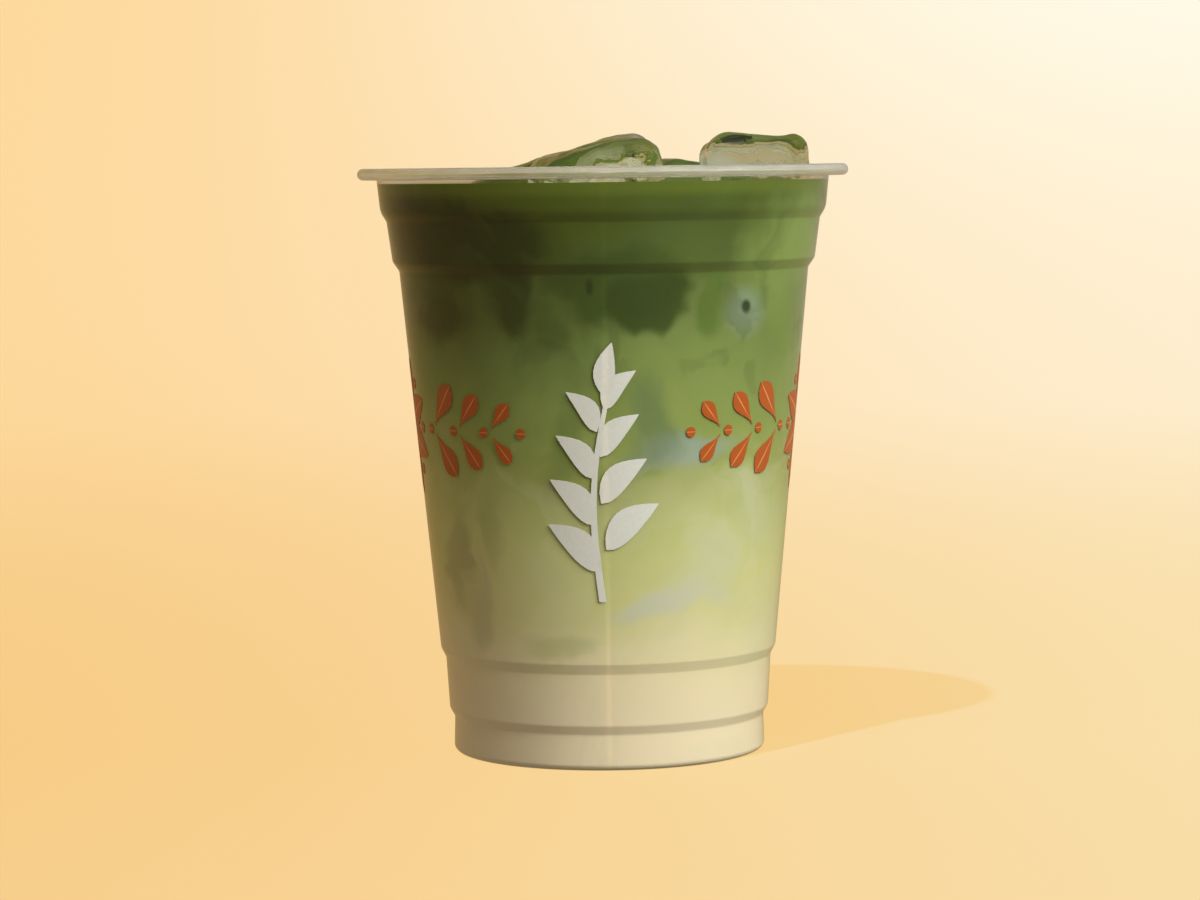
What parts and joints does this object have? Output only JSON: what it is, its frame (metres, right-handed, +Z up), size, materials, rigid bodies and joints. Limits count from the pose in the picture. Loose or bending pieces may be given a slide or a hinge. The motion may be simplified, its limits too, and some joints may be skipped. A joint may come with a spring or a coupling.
{
  "type": "matcha latte",
  "caption": "Iced matcha latte in a clear tapered takeaway cup with a rolled rim and stepped bands: milk, blended and matcha layers, with ice cubes floating at the top.",
  "frame": {"origin": "middle of the circle that the cup stands on, on the surface under it", "axes": "+Z up along the cup's axis; -Y is the front of the drink, with +X to the right"},
  "size_m": [0.098, 0.098, 0.1239],
  "materials": {
    "cup_clear": "clear glossy plastic",
    "matcha": "opaque liquid, dark green",
    "blend": "opaque liquid, mid green",
    "milk": "opaque liquid, cream",
    "ice": "clear, wet",
    "ink_white": "screen print",
    "ink_orange": "screen print"
  },
  "bodies": {
    "root": {"cup": "cup_clear", "matcha_layer": "matcha", "blended_layer": "blend", "milk_layer": "milk", "ice_front": "ice", "ice_right": "ice", "ice_back_left": "ice", "ice_back_right": "ice"}
  },
  "joints": []
}
